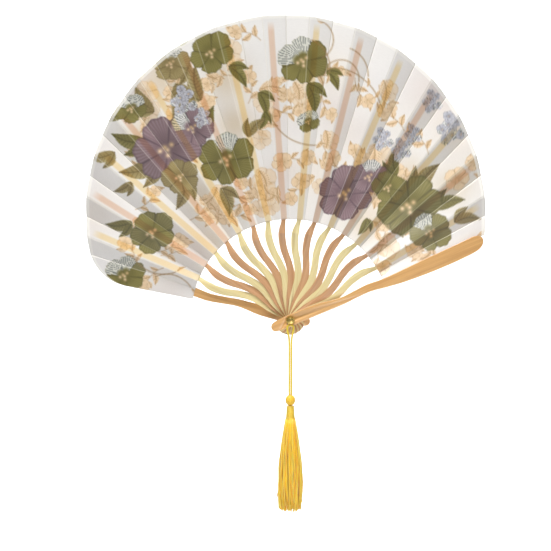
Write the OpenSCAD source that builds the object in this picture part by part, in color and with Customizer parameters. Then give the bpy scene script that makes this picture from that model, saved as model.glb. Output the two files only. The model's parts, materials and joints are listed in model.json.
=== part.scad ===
// Folding hand fan: two guards and fifteen ribs on one pin, a pleated silk leaf
// and a tassel. Open, seen from the front (-Y), the fan lies in the XZ plane.
// The origin is on the pin's axis, at the middle of the stack of ribs.

/* [Opening] */
// Number of ribs between the two guards
rib_count = 15; // [9:2:17]
// Angle from one stick to the next when open, degrees
step_deg = 8.94; // [7:0.01:9.5]
// Angle of the front guard above level, degrees
front_guard_deg = 22.4; // [10:0.1:30]

/* [Ribs] */
// Width of a rib below the leaf
rib_w = 6.9; // [5:0.1:8]
// Thickness of a rib below the leaf
rib_t = 0.8; // [0.6:0.05:1]
// Gap between neighbouring ribs
rib_gap = 0.2; // [0.1:0.05:0.4]
// How far the tail of a rib reaches below the pin
tail_l = 15; // [10:0.5:18]
// Width of a slip, the part of a rib under the leaf
slip_w = 4.2; // [3:0.1:4.4]
// Thickness of a slip
slip_t = 0.4; // [0.3:0.05:0.5]
// How far a slip stops short of the leaf's outer edge
slip_short = 7; // [4:0.5:20]

/* [Leaf] */
// Distance from the pin to the leaf's inner edge
leaf_inner_r = 94.8; // [85:0.1:110]
// Radius of the shell-shaped outer edge
shell_r = 188.5; // [160:0.5:230]
// Height of that edge's centre above the pin
shell_rise = 97.5; // [70:0.5:112]
// Distance of that edge's centre from the pin, away from the front guard
shell_shift = 5.5; // [0:0.5:12]
// Depth from front crease to rear crease
pleat_depth = 4.4; // [3:0.1:5.3]
// Angle from a rib's centre line to its front crease, degrees
crease_lead_deg = 1.4; // [1.3:0.05:1.8]
// Thickness of the silk
silk_t = 0.2; // [0.1:0.05:0.3]
// Angle by which the end panel passes the rear guard's rear crease, degrees
end_panel_deg = 6.6; // [4:0.1:7]
// Radius of the end panel's rounded lower corner
end_corner_r = 26; // [10:1:35]

/* [Guards] */
// Length of the front guard from the pin to its tip
guard_l = 196; // [176:1:236]
// Length of the rear guard from the pin to its tip, hidden behind the leaf
rear_guard_l = 172; // [168:1:176]
// How far a guard reaches below the pin
guard_butt_l = 19.5; // [16:0.5:24]
// Thickness of a guard
guard_t = 3; // [2:0.1:4]

/* [Pin] */
// Radius of the pin
pin_r = 1.5; // [1:0.05:1.8]
// Radial clearance of the turning pieces on the pin
pin_clear = 0.05; // [0.02:0.01:0.1]
// Radius of the washers
washer_r = 4; // [3.4:0.1:4.4]
// Thickness of the washers
washer_t = 0.8; // [0.5:0.1:1.2]
// Outer radius of the swivel collar
collar_r = 2.6; // [2.3:0.1:3]
// Radius of the eye's middle line
eye_r = 1.5; // [1.45:0.05:1.6]
// Thickness of the eye's wire
eye_wire_d = 0.9; // [0.7:0.05:0.9]

/* [Tassel] */
// Diameter of the cord
cord_d = 1.8; // [1.4:0.1:1.8]
// Radius of the tassel's round head
knot_r = 4.8; // [4:0.1:6]
// Length of the wrapped neck
neck_l = 12; // [8:0.5:16]
// Radius of the wrapped neck at its top
neck_r = 3.5; // [3:0.1:4.5]
// Length of the threads below the neck
skirt_l = 86; // [60:1:110]
// Radius of the threads at their widest
skirt_r = 11.5; // [8:0.5:14]

/* [Hidden] */
stick_pitch = rib_t + rib_gap;
half_step = step_deg / 2 + 0.03;
first_y = -(rib_count - 1) / 2 * stick_pitch;
last_y = -first_y;
last_stick = rib_count + 1;

// Depth of the front and rear creases from their rib's middle plane.
crease_front = pleat_depth * crease_lead_deg / half_step;
crease_rear = pleat_depth - crease_front;
crease_trail_deg = half_step - crease_lead_deg;
crease_gap = 0.1;
slip_gap = 0.15;
face_gap = 0.1;
leaf_gap = 0.3;

// The guards' inner faces clear the folded leaf.
front_face = first_y - crease_front - leaf_gap - silk_t / 2;
rear_face = last_y + crease_rear + leaf_gap + silk_t / 2;
pin_bore_r = pin_r + pin_clear;
pad_r = 5;
washer_y = front_face - guard_t - face_gap;
collar_y = washer_y - washer_t - face_gap;
collar_l = 2 * eye_r + eye_wire_d + 0.2;
eye_y = collar_y - collar_l / 2;
eye_z = -(collar_r + eye_r - 0.3);
head_y = collar_y - collar_l - face_gap;
head_r = 3.1;
head_t = 1.3;

// Rib outline: distance from the pin, centre line's offset, half width as a share of the rib's.
rib_shape = [
    [-tail_l, 0.4, 0.72], [0, 0, 0.8], [19, -0.6, 0.86], [30, -2.5, 0.93], [41, -4, 1],
    [54, -2, 1], [67, 1.5, 1], [79, 2.6, 1], [88, 1.5, 1]
];
rib_plate_end = 82.5;
rib_cap = 4;

// Guard outline: distance from the pin, centre line's offset, half width.
guard_shape = [
    [-guard_butt_l, -0.6, 4.2], [-10, -0.2, 4.9], [0, 0, 5.3], [15, 0, 5.3], [31, -0.3, 5],
    [43, -1.2, 4], [53, -1.6, 3.5], [66, -0.6, 3.5], [80, 0.2, 3.8], [95, -1.2, 4.3],
    [112, -1.8, 5.5], [136, -1.6, 6.7], [160, -1, 7.2], [182, 0.2, 7.1], [196, 2, 6.4], [240, 8, 5.6]
];
guard_cap = 9;
outline_step = 2.5;

// Stations along the twisted slip and the leaf.
leaf_stations = 22;
corner_stations = 7;

// Tassel levels below the pin.
knot_top = -70;
knot_h = 10.4;
knot_mid = knot_top - knot_h / 2;
neck_top = knot_top - knot_h;
skirt_top = neck_top - neck_l;
neck_foot_r = 1.25 * neck_r;

// Half of the cord's loop through the eye: offset from the middle, then height.
cord_half = [
    [0, -3.9], [1.15, -4.15], [2.1, -4.8], [2.8, -5.8], [3, -7], [2.8, -9], [2.2, -12], [1.5, -15],
    [1.1, -19], [1, -24], [1, -30], [1, -36], [1, -42], [1, -48], [1, -54], [1, -60], [1, -66]
];
cord_sides = 8;

function stick_deg(i) = front_guard_deg + i * step_deg;
function stick_y(i) = first_y + (i - 1) * stick_pitch;
function polar(r, a, y) = [r * cos(a), y, r * sin(a)];

// Smooth curve through the rows of a table, read in column k.
function row(t, s, i = 0) = i >= len(t) - 2 || s < t[i + 1][0] ? i : row(t, s, i + 1);
function slope(t, i, k) =
    let (a = max(i - 1, 0), b = min(i + 1, len(t) - 1))
    (t[b][k] - t[a][k]) / (t[b][0] - t[a][0]);
function at(t, s, k) =
    let (i = row(t, s), h = t[i + 1][0] - t[i][0], u = (s - t[i][0]) / h)
    (2 * pow(u, 3) - 3 * pow(u, 2) + 1) * t[i][k]
    + (pow(u, 3) - 2 * pow(u, 2) + u) * h * slope(t, i, k)
    + (3 * pow(u, 2) - 2 * pow(u, 3)) * t[i + 1][k]
    + (pow(u, 3) - pow(u, 2)) * h * slope(t, i + 1, k);

// Closed outline of a stick that narrows to a round end over its last stretch.
function stations(from, to, cap_a, cap_b) = concat(
    [for (q = [0:15:75]) if (cap_a > 0) from + cap_a * (1 - cos(q))],
    [for (s = [from + cap_a:outline_step:to - cap_b - 0.5]) s],
    [for (q = [0:15:90]) if (cap_b > 0) to - cap_b * (1 - sin(q))],
    [for (q = [0]) if (cap_b == 0) to]
);
function roundness(s, from, to, cap_a, cap_b) =
    s < from + cap_a ? sqrt(1 - pow((from + cap_a - s) / cap_a, 2))
    : s > to - cap_b ? sqrt(max(0, 1 - pow((s - to + cap_b) / cap_b, 2)))
    : 1;
function outline(t, scale, from, to, cap_a, cap_b) =
    let (
        ss = stations(from, to, cap_a, cap_b),
        sides = [for (s = ss) [s, at(t, s, 1), at(t, s, 2) * scale * roundness(s, from, to, cap_a, cap_b)]]
    )
    concat(
        [for (p = sides) [p[0], p[1] - p[2]]],
        [for (k = [len(sides) - 1:-1:0]) if (sides[k][2] > 0.01) [sides[k][0], sides[k][1] + sides[k][2]]]
    );

// A plate in the fan's plane from y_from to y_to.
module plate(y_from, y_to, angle, points) {
    translate([0, y_to, 0])
        rotate([90, 0, 0])
            rotate([0, 0, angle])
                linear_extrude(y_to - y_from)
                    polygon(points);
}

module along_pin(y_from, y_to, r) {
    translate([0, y_to, 0])
        rotate([90, 0, 0])
            cylinder(h = y_to - y_from, r = r, $fn = 48);
}

// Closed solid through rings of the same even number of points.
module skin(rings) {
    n = len(rings[0]);
    m = len(rings);
    end = (m - 1) * n;
    polyhedron(
        points = [for (ring = rings) each ring],
        faces = concat(
            [for (k = [0:n / 2 - 2]) each [[k + 1, k, n - 1 - k], [k + 1, n - 1 - k, n - 2 - k]]],
            // Both faces of a thin skin are split along the same diagonals
            [for (j = [0:m - 2]) for (k = [0:n - 1])
                let (a = j * n + k, b = j * n + (k + 1) % n, c = b + n, d = a + n)
                each k < n / 2 ? [[a, b, d], [b, c, d]] : [[a, b, c], [a, c, d]]],
            [for (k = [0:n / 2 - 2]) each [
                [end + k, end + k + 1, end + n - 1 - k],
                [end + k + 1, end + n - 2 - k, end + n - 1 - k]
            ]]
        )
    );
}

function leaf_outer_r(a) =
    shell_rise * sin(a) - shell_shift * cos(a)
    + sqrt(pow(shell_r, 2) - pow(shell_rise * cos(a) + shell_shift * sin(a), 2));
// How steeply a glued panel leans, and so the slip on its back.
function lean(r) = pleat_depth / (half_step * PI / 180 * r);

// The slip turns from the rib's plane to the leaf's slope before the leaf begins.
turn_from = 81;
function turned(r) = let (u = min(1, (r - turn_from) / (leaf_inner_r - turn_from))) u * u * (3 - 2 * u);
function slip_ring(i, r) =
    let (
        u = turned(r),
        w = (rib_w * (1 - u) + slip_w * u) / 2,
        c = r < 88 ? at(rib_shape, r, 1) : at(rib_shape, 88, 1) * pow(max(0, (leaf_inner_r - r) / (leaf_inner_r - 88)), 1.5),
        y = stick_y(i) + u * (silk_t / 2 + slip_t / 2 + slip_gap),
        t = (rib_t * (1 - u) + slip_t * u) / 2,
        a = stick_deg(i)
    )
    [for (p = [[-w, -t], [w, -t], [w, t], [-w, t]])
        polar(r, a, 0) + [-sin(a) * (c + p[0]), y + p[1] - u * lean(r) * p[0], cos(a) * (c + p[0])]];

module rib(i) {
    slip_end = leaf_outer_r(stick_deg(i)) - slip_short;
    color(i % 2 == 1 ? "wheat" : "peru")
        difference() {
            union() {
                plate(stick_y(i) - rib_t / 2, stick_y(i) + rib_t / 2, stick_deg(i),
                    outline(rib_shape, rib_w / 2, -tail_l, rib_plate_end, rib_cap, 0));
                skin([
                    each [for (r = [turn_from + 0.5:1.9:leaf_inner_r - 1]) slip_ring(i, r)],
                    each [for (k = [0:leaf_stations])
                        slip_ring(i, leaf_inner_r * pow(slip_end / leaf_inner_r, k / leaf_stations))]
                ]);
            }
            along_pin(stick_y(i) - rib_t, stick_y(i) + rib_t, pin_bore_r);
        }
}

// One fold of silk: a free panel from the front crease of the stick before,
// and the panel glued to stick i, from its rear crease to its front crease.
function end_radius(a, a_end) =
    let (r = leaf_outer_r(a), d = (a_end - a) * PI / 180 * r)
    d >= end_corner_r ? r : r - end_corner_r + sqrt(pow(end_corner_r, 2) - pow(end_corner_r - d, 2));
function pleat_line(i) =
    let (
        rear = i == last_stick ? rear_face - face_gap - silk_t / 2 : stick_y(i) + crease_rear,
        start = i == 1 ? front_face + face_gap + silk_t / 2 : stick_y(i - 1) - crease_front,
        a0 = stick_deg(i - 1) + crease_lead_deg,
        a1 = stick_deg(i) - crease_trail_deg
    )
    i == last_stick
        ? concat([[a0, start], [a1, rear]], [for (k = [1:corner_stations]) [a1 + end_panel_deg * sin(90 * k / corner_stations), rear]])
        : [[a0, start], [a1, rear], [stick_deg(i) + crease_lead_deg, stick_y(i) - crease_front]];
module silk_pleat(i) {
    line = pleat_line(i);
    last = len(line) - 1;
    a_end = line[last][0];
    function radius(a) = i == last_stick && a > line[1][0] ? end_radius(a, a_end) : leaf_outer_r(a);
    function ring(share, k) =
        let (
            side = k == 0 ? 1 : k == last && i < last_stick ? -1 : 0,
            r = leaf_inner_r * pow(radius(line[k][0]) / leaf_inner_r, share),
            a = line[k][0] + side * crease_gap / r * 180 / PI
        )
        polar(r, a, line[k][1]);
    color(i % 2 == 1 ? "linen" : "antiquewhite")
        skin([for (j = [0:leaf_stations]) concat(
            [for (k = [0:last]) ring(j / leaf_stations, k) - [0, silk_t / 2, 0]],
            [for (k = [last:-1:0]) ring(j / leaf_stations, k) + [0, silk_t / 2, 0]]
        )]);
}

function guard_points(l) = outline(guard_shape, 1, -guard_butt_l, l, guard_cap / 2, guard_cap);

module front_guard() {
    color("burlywood")
        difference() {
            union() {
                plate(front_face - guard_t, front_face, front_guard_deg, guard_points(guard_l));
                along_pin(front_face - 0.5, first_y - rib_t / 2 - face_gap, pad_r);
            }
            along_pin(front_face - 2 * guard_t, first_y, pin_bore_r);
        }
}

module rear_guard() {
    color("burlywood")
        difference() {
            union() {
                plate(rear_face, rear_face + guard_t, stick_deg(last_stick), guard_points(rear_guard_l));
                along_pin(last_y + rib_t / 2 + face_gap, rear_face + 0.5, pad_r);
            }
            along_pin(last_y, rear_face + 2 * guard_t, pin_bore_r);
            // Recess that sinks the rear washer below the guard's flat face
            along_pin(rear_face + guard_t - washer_t - 2 * face_gap, rear_face + 2 * guard_t, washer_r + face_gap);
        }
}

module pivot_pin() {
    color("goldenrod") {
        along_pin(head_y - 0.2, rear_face + guard_t - face_gap, pin_r);
        translate([0, head_y, 0])
            rotate([90, 0, 0])
                rotate_extrude($fn = 48)
                    polygon([[0, 0], [head_r, 0], [head_r, 0.4], [head_r * 0.88, 0.8], [head_r * 0.6, 1.12], [0, head_t]]);
    }
}

module washer(y_from, bore_r) {
    color("gold")
        difference() {
            along_pin(y_from, y_from + washer_t, washer_r);
            along_pin(y_from - 1, y_from + washer_t + 1, bore_r);
        }
}
module front_washer() { washer(washer_y - washer_t, pin_bore_r); }
module rear_washer() { washer(rear_face + guard_t - washer_t - face_gap, pin_r); }

module swivel_eye() {
    color("gold")
        difference() {
            union() {
                along_pin(collar_y - collar_l, collar_y, collar_r);
                translate([0, eye_y, eye_z])
                    rotate([0, 90, 0])
                        rotate_extrude($fn = 48)
                            translate([eye_r, 0])
                                circle(d = eye_wire_d, $fn = 24);
            }
            along_pin(collar_y - collar_l - 1, collar_y + 1, pin_bore_r);
        }
}

// The cord leaves the tassel's head, passes through the eye and comes back.
cord_route = concat(
    [[-1, knot_top]],
    [for (k = [len(cord_half) - 1:-1:1]) [-cord_half[k][0], cord_half[k][1]]],
    [for (p = cord_half) p],
    [[1, knot_top]]
);
function cord_ring(k) =
    let (
        a = cord_route[max(k - 1, 0)],
        b = cord_route[min(k + 1, len(cord_route) - 1)],
        level = k == 0 || k == len(cord_route) - 1,
        d = level ? [0, b[1] > a[1] ? 1 : -1] : (b - a) / norm(b - a),
        p = cord_route[k]
    )
    [for (q = [0:cord_sides - 1])
        let (u = cord_d / 2 * cos(360 * q / cord_sides), v = cord_d / 2 * sin(360 * q / cord_sides))
        [p[0] + d[1] * u, eye_y - v, p[1] - d[0] * u]];
module hanging_cord() {
    color("gold") skin([for (k = [0:len(cord_route) - 1]) cord_ring(k)]);
}

module hung(z) {
    translate([0, eye_y, z]) rotate_extrude($fn = 48) children();
}
module tassel_head() {
    color("orange")
        hung(knot_mid)
            polygon([
                [0, -knot_h / 2],
                for (q = [-65:13:65]) [knot_r * cos(q), knot_h / 2 * sin(q) / sin(65)],
                [0, knot_h / 2]
            ]);
}
module tassel_neck() {
    color("gold") hung(skirt_top) polygon([[0, 0], [neck_foot_r, 0], [neck_r, neck_l], [0, neck_l]]);
}
module tassel_skirt() {
    color("orange")
        hung(skirt_top - skirt_l)
            polygon([
                [0, 0], [skirt_r * 0.92, 0], [skirt_r, skirt_l * 0.18], [skirt_r * 0.97, skirt_l * 0.5],
                [skirt_r * 0.72, skirt_l * 0.75], [skirt_r * 0.52, skirt_l * 0.9], [neck_foot_r, skirt_l], [0, skirt_l]
            ]);
}

function two_digits(i) = str(i < 10 ? "0" : "", i);
front_guard();
rear_guard();
pivot_pin();
front_washer();
rear_washer();
swivel_eye();
hanging_cord();
tassel_head();
tassel_neck();
tassel_skirt();
for (i = [1:rib_count])
    rib(i);
for (i = [1:last_stick])
    silk_pleat(i);
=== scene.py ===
import json
import math
import random

import bmesh
import bpy
import numpy as np
from mathutils import Matrix, Vector


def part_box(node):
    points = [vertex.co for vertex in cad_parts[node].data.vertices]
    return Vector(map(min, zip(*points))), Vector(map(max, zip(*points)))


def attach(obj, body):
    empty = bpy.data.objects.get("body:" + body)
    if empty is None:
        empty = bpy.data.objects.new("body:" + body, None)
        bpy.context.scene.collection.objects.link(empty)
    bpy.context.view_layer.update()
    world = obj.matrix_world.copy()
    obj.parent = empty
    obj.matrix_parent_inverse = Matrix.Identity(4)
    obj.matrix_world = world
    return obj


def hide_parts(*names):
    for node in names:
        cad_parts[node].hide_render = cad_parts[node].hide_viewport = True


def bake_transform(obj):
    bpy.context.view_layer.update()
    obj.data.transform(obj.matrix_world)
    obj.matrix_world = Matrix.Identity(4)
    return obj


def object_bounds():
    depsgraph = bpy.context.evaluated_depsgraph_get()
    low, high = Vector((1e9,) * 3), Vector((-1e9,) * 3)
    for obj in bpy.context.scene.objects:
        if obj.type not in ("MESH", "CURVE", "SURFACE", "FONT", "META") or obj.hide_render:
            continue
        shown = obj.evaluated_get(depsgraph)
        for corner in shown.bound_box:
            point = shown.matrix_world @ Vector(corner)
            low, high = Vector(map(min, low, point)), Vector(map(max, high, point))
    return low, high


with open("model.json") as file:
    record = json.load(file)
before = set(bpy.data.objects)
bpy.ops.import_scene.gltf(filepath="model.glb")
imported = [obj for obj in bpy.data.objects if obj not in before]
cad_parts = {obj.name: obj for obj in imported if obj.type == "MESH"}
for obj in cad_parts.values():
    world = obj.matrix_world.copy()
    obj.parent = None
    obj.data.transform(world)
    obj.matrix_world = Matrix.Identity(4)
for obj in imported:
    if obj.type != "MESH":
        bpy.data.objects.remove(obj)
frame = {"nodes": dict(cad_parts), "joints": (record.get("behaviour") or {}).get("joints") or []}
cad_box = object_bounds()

MM = 0.001

# ---------------------------------------------------------------- camera
# A product view: level with the fan's middle and a little above it, from far
# enough that the open fan keeps its flat, upright proportions.
pin_low, pin_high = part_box("pivot_pin")
pin_x = (pin_low[0] + pin_high[0]) / 2
pin_z = (pin_low[2] + pin_high[2]) / 2
# The fan's middle, measured from the pin
aim_aside = -14 * MM
aim_up = 41.5 * MM
aim = Vector((pin_x + aim_aside, 0, pin_z + aim_up))
camera_distance = 1.232
camera_rise = math.radians(4)
camera = bpy.data.objects.new("camera", bpy.data.cameras.new("camera"))
camera.data.lens = 85
camera.location = aim + camera_distance * Vector((0, -math.cos(camera_rise), math.sin(camera_rise)))
camera.rotation_euler = (math.pi / 2 - camera_rise, 0, 0)
bpy.context.scene.collection.objects.link(camera)
bpy.context.scene.camera = camera
bpy.context.scene.view_settings.view_transform = "Standard"

# ---------------------------------------------------------------- cord
# A lemon yellow satin cord of three plies. It leaves the tassel's head, passes
# through the brass eye and comes back down beside itself into the head.
eye_low, eye_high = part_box("swivel_eye")
head_low, head_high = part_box("tassel_head")
cord_y = (eye_low[1] + eye_high[1]) / 2
cord_d = 1.8 * MM
ply_pitch = 5.5 * MM
# Half of the loop as (x, z) in millimetres, from the bend in the eye down to the knot
cord_half = [
    (0, -3.9), (1.15, -4.15), (2.1, -4.8), (2.8, -5.8), (3, -7), (2.8, -9), (2.2, -12), (1.5, -15),
    (1.1, -19), (1, -24), (1, -30), (1, -36), (1, -42), (1, -48), (1, -54), (1, -60), (1, -66), (1, -70),
]
cord_route = [(-x, z) for x, z in reversed(cord_half[1:])] + cord_half


def paint(red, green, blue):
    """A display colour from 0 to 255 as the linear colour that a shader takes."""
    shares = [v / 255 for v in (red, green, blue)]
    return tuple(v / 12.92 if v < 0.04045 else ((v + 0.055) / 1.055) ** 2.4 for v in shares)


def new_piece(name, mesh_bm, material):
    """Makes a smooth-shaded object at the origin from a bmesh, and frees the bmesh."""
    mesh = bpy.data.meshes.new(name)
    mesh_bm.to_mesh(mesh)
    mesh_bm.free()
    piece = bpy.data.objects.new(name, mesh)
    bpy.context.scene.collection.objects.link(piece)
    mesh.materials.append(material)
    mesh.shade_smooth()
    return piece


def smooth_line(points, step):
    """Points a step apart along a smooth curve through the given ones."""
    p = np.array(points, float)
    padded = np.vstack([2 * p[0] - p[1], p, 2 * p[-1] - p[-2]])
    fine = []
    for k in range(1, len(padded) - 2):
        a, b, c, d = padded[k - 1 : k + 3]
        for u in np.linspace(0, 1, 12, endpoint=False):
            cubic = (3 * b - a - 3 * c + d) * u**3
            fine.append(0.5 * (2 * b + (c - a) * u + (2 * a - 5 * b + 4 * c - d) * u**2 + cubic))
    fine = np.array(fine + [p[-1]])
    along = np.concatenate([[0], np.cumsum(np.linalg.norm(np.diff(fine, axis=0), axis=1))])
    at = np.linspace(0, along[-1], int(along[-1] / step) + 1)
    return np.stack([np.interp(at, along, fine[:, k]) for k in range(p.shape[1])], axis=1)


def swept_tube(line, sides, radius_at):
    """A closed tube along a line; radius_at(distance, angle) gives its surface."""
    bm = bmesh.new()
    rings, distance = [], 0.0
    side = Vector((0, 1, 0))
    for k, point in enumerate(line):
        ahead = Vector(line[min(k + 1, len(line) - 1)]) - Vector(line[max(k - 1, 0)])
        ahead.normalize()
        side = (side - ahead * side.dot(ahead)).normalized()
        across = ahead.cross(side)
        if k:
            distance += (Vector(point) - Vector(line[k - 1])).length
        ring = []
        for j in range(sides):
            q = 2 * math.pi * j / sides
            r = radius_at(distance, q)
            ring.append(bm.verts.new(Vector(point) + r * (math.cos(q) * side + math.sin(q) * across)))
        edges = [bm.edges.new((ring[j], ring[(j + 1) % sides])) for j in range(sides)]
        if rings:
            bmesh.ops.bridge_loops(bm, edges=rings[-1] + edges)
        rings.append(edges)
    for edges in (rings[0], rings[-1]):
        bmesh.ops.contextual_create(bm, geom=edges)
    bmesh.ops.recalc_face_normals(bm, faces=bm.faces)
    return bm


def thread_material(name, light, dark, rough, strand_scale):
    """Glossy twisted or loose thread: fine fibre streaks whose darker tone falls where the same noise bumps
    the surface in, partly fibre colour and partly painted shade in the hollows.
    """
    material = bpy.data.materials.new(name)
    material.use_nodes = True
    nodes, links = material.node_tree.nodes, material.node_tree.links
    shader = nodes["Principled BSDF"]
    place = nodes.new("ShaderNodeTexCoord")
    stretch = nodes.new("ShaderNodeMapping")
    stretch.inputs["Scale"].default_value = strand_scale
    fibre = nodes.new("ShaderNodeTexNoise")
    fibre.inputs["Scale"].default_value = 1
    fibre.inputs["Detail"].default_value = 4
    shade = nodes.new("ShaderNodeValToRGB")
    shade.color_ramp.elements[0].position = 0.3
    shade.color_ramp.elements[0].color = (*dark, 1)
    shade.color_ramp.elements[1].position = 0.68
    shade.color_ramp.elements[1].color = (*light, 1)
    bump = nodes.new("ShaderNodeBump")
    bump.inputs["Strength"].default_value = 0.35
    bump.inputs["Distance"].default_value = 0.0002
    links.new(place.outputs["Object"], stretch.inputs["Vector"])
    links.new(stretch.outputs["Vector"], fibre.inputs["Vector"])
    links.new(fibre.outputs["Fac"], shade.inputs["Fac"])
    links.new(shade.outputs["Color"], shader.inputs["Base Color"])
    links.new(fibre.outputs["Fac"], bump.inputs["Height"])
    links.new(bump.outputs["Normal"], shader.inputs["Normal"])
    shader.inputs["Roughness"].default_value = rough
    shader.inputs["Sheen Weight"].default_value = 0.35
    shader.inputs["Sheen Roughness"].default_value = 0.4
    return material


cord_satin = thread_material("cord_satin", paint(250, 228, 80), paint(226, 186, 30), 0.38, (2600, 2600, 700))
cord_line = [Vector((x * MM, cord_y, z * MM)) for x, z in smooth_line(cord_route, 0.45)]
ply_turn = 2 * math.pi / ply_pitch
cord_bm = swept_tube(
    cord_line, 15, lambda s, q: cord_d / 2 * (0.93 + 0.12 * abs(math.cos(1.5 * (q - ply_turn * s))))
)
cord = new_piece("satin_cord", cord_bm, cord_satin)
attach(cord, "tassel")
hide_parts("hanging_cord")

# ---------------------------------------------------------------- tassel
# The cord's ends are tied into a round knot. Below it the threads are bound by
# a wound neck, and hang free as a skirt of rayon yarns, a few of them astray.
tassel_x = (head_low[0] + head_high[0]) / 2
neck_low, neck_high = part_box("tassel_neck")
skirt_low, skirt_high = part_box("tassel_skirt")
neck_foot_r = (neck_high[0] - neck_low[0]) / 2
neck_taper = 1.25
neck_r = neck_foot_r / neck_taper
skirt_r = (skirt_high[0] - skirt_low[0]) / 2
knot_r = (head_high[0] - head_low[0]) / 2
gold_thread = thread_material("gold_thread", paint(255, 222, 70), paint(246, 176, 30), 0.4, (2200, 2200, 180))
pale_thread = thread_material("pale_thread", paint(255, 232, 96), paint(246, 196, 44), 0.4, (900, 900, 3200))


def turned_solid(profile, sides):
    """Spins a profile of (radius, height) points round the tassel's axis."""
    bm = bmesh.new()
    verts = [bm.verts.new((tassel_x + r, cord_y, z)) for r, z in profile]
    for a, b in zip(verts, verts[1:]):
        bm.edges.new((a, b))
    bmesh.ops.spin(
        bm, geom=bm.verts[:] + bm.edges[:], cent=(tassel_x, cord_y, 0), axis=(0, 0, 1),
        angle=2 * math.pi, steps=sides, use_merge=True,
    )
    bmesh.ops.remove_doubles(bm, verts=bm.verts, dist=1e-7)
    bmesh.ops.recalc_face_normals(bm, faces=bm.faces)
    return bm


# The knot: one long yarn wound aslant over a ball, which leaves diagonal ridges.
knot_mid = (head_low[2] + head_high[2]) / 2
knot_half = (head_high[2] - head_low[2]) / 2
knot_profile = [
    (knot_r * math.sin(q), knot_mid + knot_half * math.cos(q))
    for q in np.linspace(0, math.pi, 49)
]
knot_profile[0] = (0, knot_profile[0][1])
knot_profile[-1] = (0, knot_profile[-1][1])
knot_bm = turned_solid(knot_profile, 64)
for v in knot_bm.verts:
    x, y, z = v.co.x - tassel_x, v.co.y - cord_y, v.co.z - knot_mid
    q = math.atan2(y, x)
    ridge = abs(math.sin(4 * q + 5.5 * z / knot_half))
    v.co.x = tassel_x + x * (0.91 + 0.09 * ridge)
    v.co.y = cord_y + y * (0.91 + 0.09 * ridge)
knot = new_piece("tassel_knot", knot_bm, gold_thread)
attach(knot, "tassel")
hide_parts("tassel_head")

# The neck: thread wound side by side, proud at both ends of the binding.
winds = 16
neck_profile = [(0, neck_high[2])]
for k in range(winds * 6 + 1):
    share = k / (winds * 6)
    swell = 0.9 + 0.1 * abs(math.sin(math.pi * share * winds)) + 0.06 * abs(2 * share - 1) ** 6
    radius = neck_r + (neck_foot_r - neck_r) * share
    neck_profile.append((radius * swell, neck_high[2] + (neck_low[2] - neck_high[2]) * share))
neck_profile.append((0, neck_low[2]))
neck = new_piece("tassel_binding", turned_solid(neck_profile, 40), pale_thread)
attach(neck, "tassel")
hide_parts("tassel_neck")

# The skirt: yarns of a few faces each, hung from the neck and swelling below it.
skirt_top = skirt_high[2]
skirt_l = skirt_high[2] - skirt_low[2]
skirt_swell = [(0, 0.37), (0.1, 0.5), (0.26, 0.7), (0.5, 0.93), (0.72, 1.0), (0.9, 0.97), (1.04, 0.92)]
yarn_count = 300
golden_share = 0.618034
stray_every = 41
yarn_r = 0.5 * MM
yarns = random.Random(7)
skirt_bm = bmesh.new()
yarn_tone_and_depth_shade = skirt_bm.verts.layers.float.new("yarn_tone_and_depth_shade")
for k in range(yarn_count):
    q = 2 * math.pi * (k * golden_share % 1)
    depth = math.sqrt(0.25 + 0.75 * yarns.random())
    reach = skirt_l * yarns.uniform(0.93, 1.02)
    astray = 0
    if k % stray_every == 5:
        astray = yarns.uniform(2, 6) * MM
        reach = skirt_l * yarns.uniform(0.88, 0.97)
    sway = yarns.uniform(-0.35, 0.35)
    wave, phase = yarns.uniform(0.15, 0.8) * MM, yarns.uniform(0, 6.3)
    tone = yarns.random()
    line = []
    for s in np.linspace(0, 1, 12):
        r = depth * skirt_r * np.interp(s, *zip(*skirt_swell)) + astray * max(0, s - 0.6) ** 2 * 5
        turn = q + sway * s + 0.25 * math.sin(3 * s + phase)
        line.append(Vector((
            tassel_x + r * math.cos(turn) + wave * math.sin(9 * s + phase) * s,
            cord_y + r * math.sin(turn) + wave * math.cos(7 * s + phase) * s,
            skirt_top - reach * s,
        )))
    one = swept_tube(line, 5, lambda s, a: yarn_r)
    mesh = bpy.data.meshes.new("yarn")
    one.to_mesh(mesh)
    one.free()
    known = len(skirt_bm.verts)
    skirt_bm.from_mesh(mesh)
    bpy.data.meshes.remove(mesh)
    skirt_bm.verts.ensure_lookup_table()
    for v in skirt_bm.verts[known:]:
        # Each yarn's own random tone, made darker for yarns set deeper inside the skirt as painted shade
        v[yarn_tone_and_depth_shade] = tone * (0.35 + 0.65 * depth)
yarn_material = gold_thread.copy()
yarn_material.name = "skirt_yarn"
yarn_nodes, yarn_links = yarn_material.node_tree.nodes, yarn_material.node_tree.links
# The ramp turns the yarn tone and its painted depth shade into deep orange through to pale lemon
tone_of = yarn_nodes.new("ShaderNodeAttribute")
tone_of.attribute_name = "yarn_tone_and_depth_shade"
tone_ramp = yarn_nodes.new("ShaderNodeValToRGB")
tone_ramp.color_ramp.elements[0].color = (*paint(244, 164, 20), 1)
tone_ramp.color_ramp.elements[1].color = (*paint(255, 244, 96), 1)
tone_ramp.color_ramp.elements.new(0.3).color = (*paint(255, 214, 44), 1)
tone_mix = yarn_nodes.new("ShaderNodeMix")
tone_mix.data_type = "RGBA"
tone_mix.inputs["Factor"].default_value = 0.6
yarn_shader = yarn_nodes["Principled BSDF"]
fibre_colour = yarn_shader.inputs["Base Color"].links[0].from_socket
yarn_links.new(tone_of.outputs["Fac"], tone_ramp.inputs["Fac"])
yarn_links.new(fibre_colour, tone_mix.inputs["A"])
yarn_links.new(tone_ramp.outputs["Color"], tone_mix.inputs["B"])
yarn_links.new(tone_mix.outputs["Result"], yarn_shader.inputs["Base Color"])
skirt = new_piece("tassel_skirt_yarns", skirt_bm, yarn_material)
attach(skirt, "tassel")
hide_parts("tassel_skirt")

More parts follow.
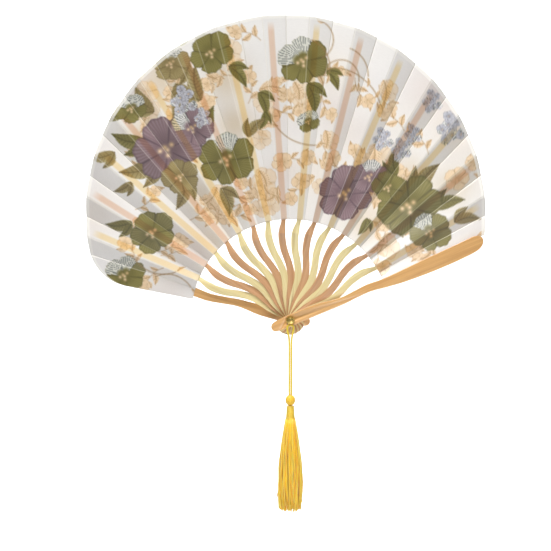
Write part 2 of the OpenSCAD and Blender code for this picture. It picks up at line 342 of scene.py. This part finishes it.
# ---------------------------------------------------------------- ribs
# Fifteen split bamboo ribs, natural and steamed in turn. Each is planed flat,
# sawn to a double curve below the leaf, and thinned to a slip behind the silk.
joints = {joint["name"]: joint for joint in frame["joints"]}
step_deg = joints["fold_01"]["range_deg"][1]
# The front guard's angle above +X in the open fan
front_guard_deg = 22.4
rib_count = sum(name.startswith("rib_") for name in frame["nodes"])


def stick_deg(i):
    return front_guard_deg + i * step_deg


def bamboo(name, light, dark, rough, coat, streak):
    """Split bamboo: straight fibre bundles along the stick, with a soft mottle."""
    material = bpy.data.materials.new(name)
    material.use_nodes = True
    nodes, links = material.node_tree.nodes, material.node_tree.links
    shader = nodes["Principled BSDF"]
    grain_map = nodes.new("ShaderNodeUVMap")
    grain_map.uv_map = "grain"
    fine = nodes.new("ShaderNodeMapping")
    fine.inputs["Scale"].default_value = (2400, 26, 1)
    fibre = nodes.new("ShaderNodeTexNoise")
    fibre.inputs["Scale"].default_value = 1
    fibre.inputs["Detail"].default_value = 5
    fibre.inputs["Roughness"].default_value = 0.62
    broad = nodes.new("ShaderNodeMapping")
    broad.inputs["Scale"].default_value = (420, 14, 1)
    mottle = nodes.new("ShaderNodeTexNoise")
    mottle.inputs["Scale"].default_value = 1
    mottle.inputs["Detail"].default_value = 3
    both = nodes.new("ShaderNodeMix")
    both.inputs["Factor"].default_value = streak
    shade = nodes.new("ShaderNodeValToRGB")
    shade.color_ramp.elements[0].position = 0.32
    shade.color_ramp.elements[0].color = (*dark, 1)
    shade.color_ramp.elements[1].position = 0.62
    shade.color_ramp.elements[1].color = (*light, 1)
    gloss = nodes.new("ShaderNodeMapRange")
    gloss.inputs["To Min"].default_value = rough + 0.12
    gloss.inputs["To Max"].default_value = rough - 0.06
    bump = nodes.new("ShaderNodeBump")
    bump.inputs["Strength"].default_value = 0.22
    bump.inputs["Distance"].default_value = 0.0002
    for mapping, texture in ((fine, fibre), (broad, mottle)):
        links.new(grain_map.outputs["UV"], mapping.inputs["Vector"])
        links.new(mapping.outputs["Vector"], texture.inputs["Vector"])
    links.new(mottle.outputs["Fac"], both.inputs["A"])
    links.new(fibre.outputs["Fac"], both.inputs["B"])
    links.new(both.outputs["Result"], shade.inputs["Fac"])
    links.new(both.outputs["Result"], gloss.inputs["Value"])
    links.new(shade.outputs["Color"], shader.inputs["Base Color"])
    links.new(gloss.outputs["Result"], shader.inputs["Roughness"])
    links.new(fibre.outputs["Fac"], bump.inputs["Height"])
    links.new(bump.outputs["Normal"], shader.inputs["Normal"])
    shader.inputs["Coat Weight"].default_value = coat
    shader.inputs["Coat Roughness"].default_value = 0.18
    return material


natural_bamboo = bamboo("natural_bamboo", paint(240, 226, 172), paint(222, 200, 138), 0.4, 0.15, 0.5)
steamed_bamboo = bamboo("steamed_bamboo", paint(216, 170, 126), paint(188, 138, 96), 0.4, 0.15, 0.5)


unrounded_r = 5.5 * MM
least_edge_deg = 50


def shaped_stick(node, name, degrees, material, edge_round, segments):
    """A stick from its sawn blank: its flats joined, and its edges eased except round the pin."""
    bm = bmesh.new()
    bm.from_mesh(frame["nodes"][node].data)
    bmesh.ops.remove_doubles(bm, verts=bm.verts, dist=2e-6)
    bmesh.ops.dissolve_limit(
        bm, angle_limit=math.radians(0.6), verts=bm.verts, edges=bm.edges, delimit={"NORMAL"}
    )
    sharp = [
        e for e in bm.edges
        if len(e.link_faces) == 2 and e.calc_face_angle() > math.radians(least_edge_deg)
        and max(math.hypot(v.co.x - pin_x, v.co.z - pin_z) for v in e.verts) > unrounded_r
    ]
    bmesh.ops.bevel(
        bm, geom=sharp, offset=edge_round, segments=segments, profile=0.5, affect="EDGES",
        clamp_overlap=True, material=-1,
    )
    grain = bm.loops.layers.uv.new("grain")
    turn = Matrix.Rotation(math.radians(degrees), 3, "Y")
    shift = 0.31 * degrees
    for face in bm.faces:
        for loop in face.loops:
            flat = turn @ (loop.vert.co - Vector((pin_x, 0, pin_z)))
            loop[grain].uv = (flat.z + 0.6 * flat.y + shift, flat.x + 0.013 * degrees)
    return new_piece(name, bm, material)


for i in range(1, rib_count + 1):
    natural = i % 2 == 1
    body = f"rib_{i:02d}"
    rib = shaped_stick(
        body, f"bamboo_rib_{i:02d}", stick_deg(i), natural_bamboo if natural else steamed_bamboo, 0.12 * MM, 2
    )
    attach(rib, body)
    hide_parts(body)

# ---------------------------------------------------------------- guards
# The two outer sticks, cut from thicker bamboo. They follow the ribs' curve,
# widen to a paddle that covers the folded leaf, and are rounded and varnished.
guard_bamboo = bamboo("varnished_bamboo", paint(238, 188, 122), paint(212, 156, 94), 0.26, 0.8, 0.35)
for node, i in (("front_guard", 0), ("rear_guard", rib_count + 1)):
    guard = shaped_stick(node, f"{node}_stick", stick_deg(i), guard_bamboo, 1.42 * MM, 6)
    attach(guard, node)
    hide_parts(node)

# ---------------------------------------------------------------- pin
# Turned brass: a domed pin through all the sticks, a washer at each end, and a
# collar with an eye that turns under the head and carries the cord.
brass = bpy.data.materials.new("pin_brass")
brass.use_nodes = True
nodes, links = brass.node_tree.nodes, brass.node_tree.links
brass_shader = nodes["Principled BSDF"]
place = nodes.new("ShaderNodeTexCoord")
tarnish = nodes.new("ShaderNodeTexNoise")
tarnish.inputs["Scale"].default_value = 900
tarnish.inputs["Detail"].default_value = 4
brass_tone = nodes.new("ShaderNodeValToRGB")
brass_tone.color_ramp.elements[0].color = (*paint(214, 176, 88), 1)
brass_tone.color_ramp.elements[1].color = (*paint(246, 222, 140), 1)
brass_rough = nodes.new("ShaderNodeMapRange")
brass_rough.inputs["To Min"].default_value = 0.2
brass_rough.inputs["To Max"].default_value = 0.38
links.new(place.outputs["Object"], tarnish.inputs["Vector"])
links.new(tarnish.outputs["Fac"], brass_tone.inputs["Fac"])
links.new(tarnish.outputs["Fac"], brass_rough.inputs["Value"])
links.new(brass_tone.outputs["Color"], brass_shader.inputs["Base Color"])
links.new(brass_rough.outputs["Result"], brass_shader.inputs["Roughness"])
brass_shader.inputs["Metallic"].default_value = 1.0
for name in ("pivot_pin", "front_washer", "rear_washer", "swivel_eye"):
    node = frame["nodes"][name]
    node.data.materials.clear()
    node.data.materials.append(brass)

# ---------------------------------------------------------------- silk leaf
# One leaf of printed silk, pleated between the sticks. On each stick a panel is
# glued to the slip; the next panel is free, and meets its neighbours at a crease on each side.
# The outline: an inner arc round the pin, and an outer arc of radius shell_r
# whose centre lies above the pin and a little to the left
leaf_inner = 94.8 * MM
shell_r = 188.5 * MM
shell_rise = 97.5 * MM
shell_shift = 5.5 * MM
# The pleats: the degrees from a stick to the crease on either side of it, and
# the depth from a front crease to a rear one
rib_pitch = 1 * MM
pleat_depth = 4.4 * MM
crease_slack = 0.03
half_step = step_deg / 2 + crease_slack
crease_lead = 1.4
crease_trail = half_step - crease_lead
end_panel = 6.6
end_corner = 26 * MM
# The cloth: one layer's thickness, and a single layer's share of the doubled hem
silk_t = 0.14 * MM
single_share = 0.45
thread_step = 1 * MM
free_pucker = 0.22 * MM
# What tints the dye: the slip seen through the silk and the hem, with a painted highlight along the creases
seen_slip_w = 5.6 * MM
slip_aside = 0.5 * MM
slip_blur = 1.1 * MM
slip_end = 6 * MM
slip_fade = 9 * MM
slip_share = 0.75
crease_highlight_w = 0.5 * MM
crease_highlight_share = 0.35
hem_w = 3.6 * MM
hem_blur = 0.6 * MM
hem_share = 0.8


def middle_y(i):
    return (i - (rib_count + 1) / 2) * rib_pitch


def outer_radius(degrees):
    a = math.radians(degrees)
    along = shell_rise * math.sin(a) - shell_shift * math.cos(a)
    aside = shell_rise * math.cos(a) + shell_shift * math.sin(a)
    return along + math.sqrt(shell_r**2 - aside**2)


def end_radius(degrees, last_degrees):
    """The end panel's outer edge, with its lower corner rounded."""
    r = outer_radius(degrees)
    d = math.radians(last_degrees - degrees) * r
    if d >= end_corner:
        return r
    return r - end_corner + math.sqrt(max(0.0, end_corner**2 - (end_corner - d) ** 2))


# The print: generic lobed blossoms, leaves and sprigs in olive, mauve, peach and
# grey on ivory, painted point by point over the flat leaf.
IVORY = (236, 233, 229)
PEACH, SAND, BROWN_GOLD = (236, 206, 168), (216, 184, 138), (158, 122, 76)
ROSE_GREY = (222, 210, 204)
OLIVE = ((82, 74, 34), (122, 114, 58), (168, 160, 104))
MOSS = ((104, 88, 50), (150, 132, 84), (200, 188, 142))
MAUVE = ((84, 66, 74), (132, 108, 112), (184, 166, 170))
STEEL = ((84, 84, 98), (184, 184, 192), (240, 238, 240))
FADED = ((176, 140, 96), (230, 202, 164), (240, 224, 200))


class Print:
    """The printed colours of a set of points on the flat leaf, in millimetres."""

    def __init__(self, x, z):
        self.x, self.z = x, z
        self.colour = np.tile(np.array(IVORY, float) / 255, (len(x), 1))
        self.reach = (x.min(), x.max(), z.min(), z.max())

    def misses(self, x, z, size):
        low_x, high_x, low_z, high_z = self.reach
        return x + size < low_x or x - size > high_x or z + size < low_z or z - size > high_z

    def lay(self, share, colour):
        share = np.clip(share, 0, 1)[:, None]
        self.colour = self.colour * (1 - share) + share * np.array(colour, float) / 255

    def wash(self, x, z, size, colour, strength):
        if not self.misses(x, z, 3 * size):
            far = ((self.x - x) ** 2 + (self.z - z) ** 2) / size**2
            self.lay(strength * np.exp(-far), colour)

    def bloom(self, x, z, size, turn, lobes, tones, pale=0, strength=1.0):
        """A round-lobed blossom: flat colour, darker folds between lobes, a pale lobe or two."""
        if self.misses(x, z, 1.2 * size):
            return
        dark, mid, light = tones
        u, v = self.x - x, self.z - z
        d = np.hypot(u, v)
        q = np.arctan2(v, u) - turn
        fold = np.abs(np.sin(lobes * q / 2 + 0.25 * np.sin(2 * q)))
        rim = size * (0.76 + 0.2 * fold**0.55 + 0.07 * np.sin(q + turn) + 0.06 * np.sin(2 * q + 3 * turn))
        rim += 0.02 * size * np.sin(17 * q)
        inside = strength * np.clip((rim - d) / 0.9 + 0.5, 0, 1)
        out = np.clip(d / rim, 0, 1)
        veins = 0.5 + 0.5 * np.cos(9 * lobes * q + 2 * np.sin(5 * out))
        self.lay(inside, mid)
        self.lay(0.45 * inside * veins * out, light)
        self.lay(0.75 * inside * np.exp(-((fold / 0.16) ** 2)) * (out > 0.2), dark)
        self.lay(0.5 * inside * np.clip(1 - 1.6 * out, 0, 1), dark)
        self.lay(0.5 * inside * np.clip(12 * out - 11, 0, 1), dark)
        lobe = np.floor((q % (2 * np.pi)) * lobes / (2 * np.pi))
        white = inside * (lobe < pale) * np.clip((out - 0.32) * 6, 0, 1)
        self.lay(0.9 * white, (222, 222, 216))
        self.lay(0.7 * white * (veins > 0.72), (88, 92, 88))
        for k in range(5):
            w = 2.4 * k
            r = 0.11 * size * math.sqrt(k)
            self.wash(x + r * math.cos(w), z + r * math.sin(w), 0.07 * size, SAND if k % 2 else PEACH, 0.95)

    def leaf(self, x, z, length, turn, tones, wide=0.2):
        """A pointed leaf that starts at (x, z), with a dark midrib and side veins."""
        if self.misses(x, z, 1.1 * length):
            return
        dark, mid, light = tones
        c, s = math.cos(turn), math.sin(turn)
        u = ((self.x - x) * c + (self.z - z) * s) / length
        v = (-(self.x - x) * s + (self.z - z) * c) / length - 0.12 * np.sin(3 * u)
        half = wide * np.sin(np.pi * np.clip(u, 0, 1) ** 0.8)
        inside = np.clip((half - np.abs(v)) * length / 0.8 + 0.5, 0, 1) * (u > 0) * (u < 1)
        self.lay(inside, mid)
        self.lay(0.55 * inside * np.clip(v / wide, 0, 1), light)
        self.lay(0.45 * inside * (np.sin(60 * u - 40 * np.abs(v)) > 0.6), dark)
        self.lay(0.8 * inside * np.exp(-((v * length / 0.6) ** 2)), dark)

    def stem(self, x, z, turn, length, bend, colour, width=0.7):
        """A curved stem as a chain of short strokes."""
        for _ in range(int(length / 1.3)):
            if not self.misses(x, z, 4):
                far = (self.x - x) ** 2 + (self.z - z) ** 2
                self.lay(0.7 * np.exp(-far / width**2 / 1.3), colour)
            x, z = x + 1.3 * math.cos(turn), z + 1.3 * math.sin(turn)
            turn += bend
        return x, z, turn

    def sprig(self, x, z, turn, tones, draw):
        """A fine stem with small leaves on both sides and a small flower."""
        for k in range(5):
            x, z, turn = self.stem(x, z, turn, 5.2, 0.05, tones[0], 0.5)
            self.leaf(x, z, draw.uniform(8, 13), turn + (0.9 if k % 2 else -0.9), tones, 0.24)
        self.bloom(x, z, draw.uniform(5, 8), turn, 5, tones)

    def posy(self, x, z, size):
        """A knot of tiny outlined flowers."""
        for k in range(8):
            q, r = 2.4 * k, 0.36 * size * math.sqrt(k)
            self.bloom(x + r * math.cos(q), z + r * math.sin(q), 0.4 * size, q, 5, STEEL, k % 3)


def printed(points):
    """The print's colour at each point, given as metres right of and above the pin."""
    sheet = Print(points[:, 0] / MM, points[:, 1] / MM)
    draw = random.Random(21)
    for _ in range(44):
        a, r = math.radians(draw.uniform(18, 172)), draw.uniform(98, 280)
        tone = draw.choice([(234, 216, 194), ROSE_GREY, (224, 221, 222), (230, 222, 212)])
        sheet.wash(r * math.cos(a), r * math.sin(a), draw.uniform(12, 30), tone, draw.uniform(0.25, 0.6))
    # Broad drifts of sand colour under the densest foliage
    for x, z, size, strength in (
        (-58, 226, 20, 0.55), (-52, 184, 18, 0.6), (-118, 226, 20, 0.6), (-84, 116, 18, 0.5),
        (-140, 172, 18, 0.55), (112, 138, 16, 0.45), (150, 124, 18, 0.5), (72, 88, 14, 0.5),
    ):
        sheet.wash(x, z, size, (206, 184, 150), strength)
    # Faded sprays and blossoms that fill the ground between the strong ones
    for k in range(72):
        a, r = math.radians(draw.uniform(20, 172)), draw.uniform(102, 270)
        x, z, turn = r * math.cos(a), r * math.sin(a), draw.uniform(0, 6.3)
        sheet.sprig(x, z, turn, FADED, draw)
        if k % 3 == 0:
            sheet.bloom(x + 9, z - 6, draw.uniform(8, 14), turn, 5, FADED, 0, 0.6)
            sheet.leaf(x + 4, z + 5, draw.uniform(14, 22), turn, FADED, 0.26)
    # Foliage behind the large blossoms
    for x, z, turn, length, tones in (
        (-96, 244, 3.6, 34, MOSS), (-108, 222, 4.6, 32, MOSS), (-58, 238, 5.4, 26, OLIVE),
        (-150, 92, 3.2, 26, OLIVE), (-124, 150, 3.4, 40, MOSS), (-136, 168, 2.9, 34, OLIVE),
        (-100, 132, 4.4, 30, MOSS), (-66, 124, 5.0, 28, MOSS), (120, 120, 0.9, 34, MOSS),
        (136, 104, 0.3, 30, OLIVE), (88, 92, 5.6, 24, MOSS), (-30, 214, 5.0, 24, OLIVE),
        (16, 222, 4.9, 30, OLIVE), (34, 234, 5.2, 22, OLIVE), (-154, 206, 3.9, 28, OLIVE),
        (-142, 46, 3.0, 34, MOSS), (154, 92, 0.1, 26, MOSS), (-150, 130, 3.6, 20, MOSS),
        (-24, 196, 4.4, 18, OLIVE), (86, 128, 1.2, 22, MOSS), (-128, 196, 2.2, 30, MOSS),
        (-84, 206, 1.7, 34, MOSS), (-96, 262, 2.4, 22, OLIVE), (-40, 172, 0.8, 24, MOSS),
        (-166, 158, 3.3, 26, MOSS), (-76, 176, 1.4, 26, OLIVE), (100, 136, 1.6, 26, OLIVE),
        (72, 96, 4.2, 18, OLIVE),
    ):
        sheet.leaf(x, z, length, turn, tones)
        sheet.leaf(x, z, 0.75 * length, turn + 0.75, tones)
    # Large blossoms
    for x, z, size, turn, lobes, tones, pale in (
        (-150, 198, 15, 0.4, 5, OLIVE, 2), (-74, 250, 21, 0.4, 5, OLIVE, 0), (-60, 150, 27, 1.1, 6, OLIVE, 1),
        (-131, 81, 22, 0.2, 5, OLIVE, 0), (-158, 40, 20, 0.9, 6, OLIVE, 2), (12, 242, 24, 1.2, 6, OLIVE, 2),
        (-116, 160, 33, 0.5, 6, MAUVE, 0), (-92, 180, 20, 2.0, 5, MAUVE, 1), (-104, 134, 18, 1.3, 5, MOSS, 0),
        (52, 118, 27, 0.1, 6, MAUVE, 0), (74, 134, 17, 0.8, 5, MAUVE, 1), (112, 106, 31, 0.7, 6, OLIVE, 0),
        (132, 82, 20, 1.5, 5, OLIVE, 1), (92, 124, 16, 2.4, 5, OLIVE, 0), (-112, 240, 18, 0.9, 5, MOSS, 1),
        (17, 186, 11, 0.4, 4, OLIVE, 2), (-8, 148, 10, 0.3, 5, FADED, 0), (10, 130, 9, 1.3, 5, FADED, 0),
        (156, 132, 12, 0.7, 5, FADED, 0),
    ):
        sheet.bloom(x, z, size, turn, lobes, tones, pale)
    for x, z, size in (
        (-100, 206, 12), (87, 170, 9), (133, 205, 9), (151, 180, 13), (115, 174, 8), (104, 160, 9),
        (-82, 190, 8),
    ):
        sheet.posy(x, z, size)
    # Fine tendrils to the right of the top
    for x, z, turn, length, bend in (
        (34, 236, 0.1, 66, -0.028), (34, 238, 0.8, 46, -0.075), (30, 246, 0.5, 40, 0.07),
        (20, 262, 5.9, 40, -0.05), (-20, 196, 5.0, 60, 0.03), (56, 254, 5.9, 34, -0.05),
        (-150, 60, 5.2, 50, 0.04), (-128, 40, 0.4, 40, -0.05),
    ):
        end = sheet.stem(x, z, turn, length, bend, BROWN_GOLD, 0.62)
        sheet.leaf(end[0], end[1], 9, end[2], FADED, 0.16)
    return sheet.colour


silk = bpy.data.materials.new("printed_silk")
silk.use_nodes = True
nodes, links = silk.node_tree.nodes, silk.node_tree.links
silk_shader = nodes["Principled BSDF"]
dye = nodes.new("ShaderNodeAttribute")
dye.attribute_name = "dye"
cloth_map = nodes.new("ShaderNodeUVMap")
cloth_map.uv_map = "cloth"
warp = nodes.new("ShaderNodeTexWave")
warp.inputs["Scale"].default_value = 900
weft = nodes.new("ShaderNodeTexWave")
weft.bands_direction = "Y"
weft.inputs["Scale"].default_value = 900
slub_stretch = nodes.new("ShaderNodeMapping")
slub_stretch.inputs["Scale"].default_value = (240, 1400, 1)
slub = nodes.new("ShaderNodeTexNoise")
slub.inputs["Scale"].default_value = 1
slub.inputs["Detail"].default_value = 4
weave = nodes.new("ShaderNodeMath")
weave.operation = "MULTIPLY"
cloth_height = nodes.new("ShaderNodeMath")
cloth_height.operation = "ADD"
fade = nodes.new("ShaderNodeMapRange")
fade.inputs["To Min"].default_value = 0.93
fade.inputs["To Max"].default_value = 1.04
tinted = nodes.new("ShaderNodeMix")
tinted.data_type = "RGBA"
tinted.blend_type = "MULTIPLY"
tinted.inputs["Factor"].default_value = 1
weave_bump = nodes.new("ShaderNodeBump")
weave_bump.inputs["Strength"].default_value = 0.16
weave_bump.inputs["Distance"].default_value = 0.0001
for texture in (warp, weft, slub_stretch):
    links.new(cloth_map.outputs["UV"], texture.inputs["Vector"])
links.new(slub_stretch.outputs["Vector"], slub.inputs["Vector"])
links.new(warp.outputs["Fac"], weave.inputs[0])
links.new(weft.outputs["Fac"], weave.inputs[1])
links.new(weave.outputs["Value"], cloth_height.inputs[0])
links.new(slub.outputs["Fac"], cloth_height.inputs[1])
links.new(slub.outputs["Fac"], fade.inputs["Value"])
links.new(dye.outputs["Color"], tinted.inputs["A"])
links.new(fade.outputs["Result"], tinted.inputs["B"])
links.new(tinted.outputs["Result"], silk_shader.inputs["Base Color"])
links.new(cloth_height.outputs["Value"], weave_bump.inputs["Height"])
links.new(weave_bump.outputs["Normal"], silk_shader.inputs["Normal"])
silk_shader.inputs["Roughness"].default_value = 0.32
silk_shader.inputs["Specular IOR Level"].default_value = 0.85
silk_shader.inputs["Sheen Weight"].default_value = 0.2
silk_shader.inputs["Sheen Roughness"].default_value = 0.35


def silk_panel(name, start, end, radius_of, slip_deg, natural, pucker):
    """One panel between two creases, each given as (degrees, y), as a thin closed sheet."""
    middle = (start[0] + end[0]) / 2
    length = outer_radius(middle) - leaf_inner
    width = math.radians(abs(end[0] - start[0])) * outer_radius(middle)
    columns = max(10, round(width / thread_step))
    rows = round(length / thread_step)
    bm = bmesh.new()
    bmesh.ops.create_grid(bm, x_segments=columns, y_segments=rows, size=0.5)
    cloth = bm.loops.layers.uv.new("cloth")
    shares = {v: (v.co.x + 0.5, v.co.y + 0.5) for v in bm.verts}
    for v, (s, t) in shares.items():
        degrees = start[0] + (end[0] - start[0]) * s
        r = leaf_inner + (radius_of(degrees) - leaf_inner) * t
        a = math.radians(degrees)
        y = start[1] + (end[1] - start[1]) * s
        crumple = math.sin(23 * t + 9 * start[0]) * math.sin(8 * t + start[0]) * math.sin(math.pi * s)
        v.co = (pin_x + r * math.cos(a), y + pucker * crumple, pin_z + r * math.sin(a))
    for face in bm.faces:
        for loop in face.loops:
            s, t = shares[loop.vert]
            loop[cloth].uv = (width * s, length * t)
    bmesh.ops.recalc_face_normals(bm, faces=bm.faces)
    bm.faces.ensure_lookup_table()
    if bm.faces[0].normal.y > 0:
        bmesh.ops.reverse_faces(bm, faces=bm.faces)
    order = list(bm.verts)
    edge_share = np.array([shares[v] for v in order])
    panel = new_piece(name, bm, silk)
    at = np.array([v.co for v in panel.data.vertices])
    flat = np.stack([at[:, 0] - pin_x, at[:, 2] - pin_z], axis=1)
    colour = printed(flat)
    radius = np.hypot(flat[:, 0], flat[:, 1])
    degrees = np.degrees(np.arctan2(flat[:, 1], flat[:, 0]))
    if slip_deg is not None:
        # The slip and its line of glue show through the thin silk as a warm strip
        off = np.abs(np.radians(degrees - slip_deg) * radius + slip_aside)
        strip = np.clip((seen_slip_w / 2 - off) / slip_blur + 0.5, 0, 1)
        tone = np.array((252, 228, 172) if natural else (240, 206, 180)) / 255
        fading = np.clip((outer_radius(slip_deg) - slip_end - radius) / slip_fade, 0, 1)
        share = (slip_share * strip * fading)[:, None]
        colour = colour * (1 - share) + colour * tone * share
    # A painted highlight lightens each crease, and the turned hem is bare ivory
    near = np.minimum(edge_share[:, 0], 1 - edge_share[:, 0])
    crease = (np.exp(-((near * width / crease_highlight_w) ** 2)) * crease_highlight_share)[:, None]
    colour = colour * (1 - crease) + crease * np.array((252, 246, 232)) / 255
    turned = np.clip((edge_share[:, 1] * length - (length - hem_w)) / hem_blur + 0.5, 0, 1)
    hem = turned[:, None] * hem_share
    colour = colour * (1 - hem) + hem * np.array((246, 243, 236)) / 255
    linear = np.where(colour < 0.04045, colour / 12.92, ((colour + 0.055) / 1.055) ** 2.4)
    dyed = panel.data.color_attributes.new("dye", "FLOAT_COLOR", "POINT")
    dyed.data.foreach_set("color", np.hstack([linear, np.ones((len(linear), 1))]).astype(np.float32).ravel())
    layers = panel.vertex_groups.new(name="thickness")
    for k, h in enumerate(turned):
        layers.add([k], single_share + (1 - single_share) * float(h), "REPLACE")
    thick = panel.modifiers.new("thickness", "SOLIDIFY")
    thick.thickness = 2 * silk_t
    thick.offset = 0
    thick.vertex_group = "thickness"
    cut_w = math.hypot(width, end[1] - start[1])
    inner_w = math.hypot(width * leaf_inner / outer_radius(middle), end[1] - start[1])
    return panel, (round(cut_w, 4), round(length, 4)), round((cut_w + inner_w) / 2 * length, 6)


# Where the creases lie along the pin, from the middle of the stick they belong to
rear_crease_y = pleat_depth * (1 - crease_lead / half_step)
front_crease_y = -pleat_depth * crease_lead / half_step
half_modelled_silk = 0.1 * MM
guard_back_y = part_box("silk_pleat_01")[0][1] + half_modelled_silk
last = rib_count + 1
rear_guard_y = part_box(f"silk_pleat_{last:02d}")[1][1]
sticks = ["front_guard"] + [f"rib_{i:02d}" for i in range(1, last)] + ["rear_guard"]
for i in range(1, last + 1):
    here, before = sticks[i], sticks[i - 1]
    front_y = guard_back_y if i == 1 else middle_y(i - 1) + front_crease_y
    rear_y = rear_guard_y if i == last else middle_y(i) + rear_crease_y
    front_edge = (stick_deg(i - 1) + crease_lead, front_y)
    rear_edge = (stick_deg(i) - crease_trail, rear_y)
    natural = i % 2 == 1
    free, flat, area = silk_panel(
        f"silk_free_{i:02d}", front_edge, rear_edge, outer_radius, None, natural, free_pucker
    )
    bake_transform(free)
    if i < last:
        next_edge = (stick_deg(i) + crease_lead, middle_y(i) + front_crease_y)
        glued, flat, area = silk_panel(
            f"silk_glued_{i:02d}", rear_edge, next_edge, outer_radius, stick_deg(i), natural, 0.0
        )
    else:
        end_deg = rear_edge[0] + end_panel
        glued, flat, area = silk_panel(
            f"silk_glued_{i:02d}", rear_edge, (end_deg, rear_guard_y), lambda d: end_radius(d, end_deg),
            None, natural, 0.0,
        )
    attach(glued, here)
    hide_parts(f"silk_pleat_{i:02d}")

# ---------------------------------------------------------------- studio
# A white seamless sweep behind and below the hanging fan, clear from its own back so
# that the fan shows from every side. Two soft banks light the fan from above the
# front, and a small weak one lifts the tassel.
floor_drop = 420 * MM
floor_z = cad_box[0][2] - floor_drop
sweep_bm = bmesh.new()
sweep_line = [(-3.0, floor_z)]
sweep_line += [
    (0.7 + 0.5 * math.sin(q), floor_z + 0.5 * (1 - math.cos(q))) for q in np.linspace(0, math.pi / 2, 13)
]
sweep_line.append((1.2, 3.5))
sweep_verts = [sweep_bm.verts.new((-4, y, z)) for y, z in sweep_line]
sweep_edges = [sweep_bm.edges.new(pair) for pair in zip(sweep_verts, sweep_verts[1:])]
grown = bmesh.ops.extrude_edge_only(sweep_bm, edges=sweep_edges)
far_side = [g for g in grown["geom"] if isinstance(g, bmesh.types.BMVert)]
bmesh.ops.translate(sweep_bm, vec=(8, 0, 0), verts=far_side)
sweep_bm.normal_update()
if sum(face.normal.z for face in sweep_bm.faces) < 0:
    bmesh.ops.reverse_faces(sweep_bm, faces=sweep_bm.faces)
paper = bpy.data.materials.new("paper")
paper.use_nodes = True
paper_nodes, paper_links = paper.node_tree.nodes, paper.node_tree.links
paper_nodes["Principled BSDF"].inputs["Base Color"].default_value = (*paint(250, 250, 250), 1)
paper_nodes["Principled BSDF"].inputs["Roughness"].default_value = 0.9
paper_side = paper_nodes.new("ShaderNodeNewGeometry")
clear_back = paper_nodes.new("ShaderNodeBsdfTransparent")
one_sided = paper_nodes.new("ShaderNodeMixShader")
paper_links.new(paper_side.outputs["Backfacing"], one_sided.inputs["Fac"])
paper_links.new(paper_nodes["Principled BSDF"].outputs["BSDF"], one_sided.inputs[1])
paper_links.new(clear_back.outputs["BSDF"], one_sided.inputs[2])
paper_links.new(one_sided.outputs["Shader"], paper_nodes["Material Output"].inputs["Surface"])
sweep = new_piece("sweep", sweep_bm, paper)


def light(name, place, size, power, target=(0, 0, 0.06)):
    """An oblong soft light that faces its target."""
    lamp = bpy.data.objects.new(name, bpy.data.lights.new(name, "AREA"))
    lamp.data.shape = "RECTANGLE"
    lamp.data.size, lamp.data.size_y = size
    lamp.data.energy = power
    lamp.location = place
    lamp.rotation_euler = (Vector(target) - Vector(place)).to_track_quat("-Z", "Y").to_euler()
    bpy.context.scene.collection.objects.link(lamp)
    return lamp


light("top_bank", (-0.15, -0.55, 1.5), (0.7, 0.4), 22)
light("satin_bank", (-0.45, -0.95, 1.5), (0.7, 0.45), 9)
tassel_bank = light("tassel_bank", (0.18, -0.62, -0.3), (0.3, 0.3), 0.2, (0.03, 0, -0.12))
tassel_bank.data.spread = math.radians(70)
backdrop_wash = light("backdrop_wash", (0, 0.6, 1.3), (1.3, 0.3), 16, (0, 1.15, -0.2))
backdrop_wash.data.spread = math.radians(96)
sky = bpy.data.worlds.new("studio")
sky.use_nodes = True
sky.node_tree.nodes["Background"].inputs["Color"].default_value = (1, 1, 1, 1)
sky.node_tree.nodes["Background"].inputs["Strength"].default_value = 0.2
bpy.context.scene.world = sky

bpy.context.view_layer.update()
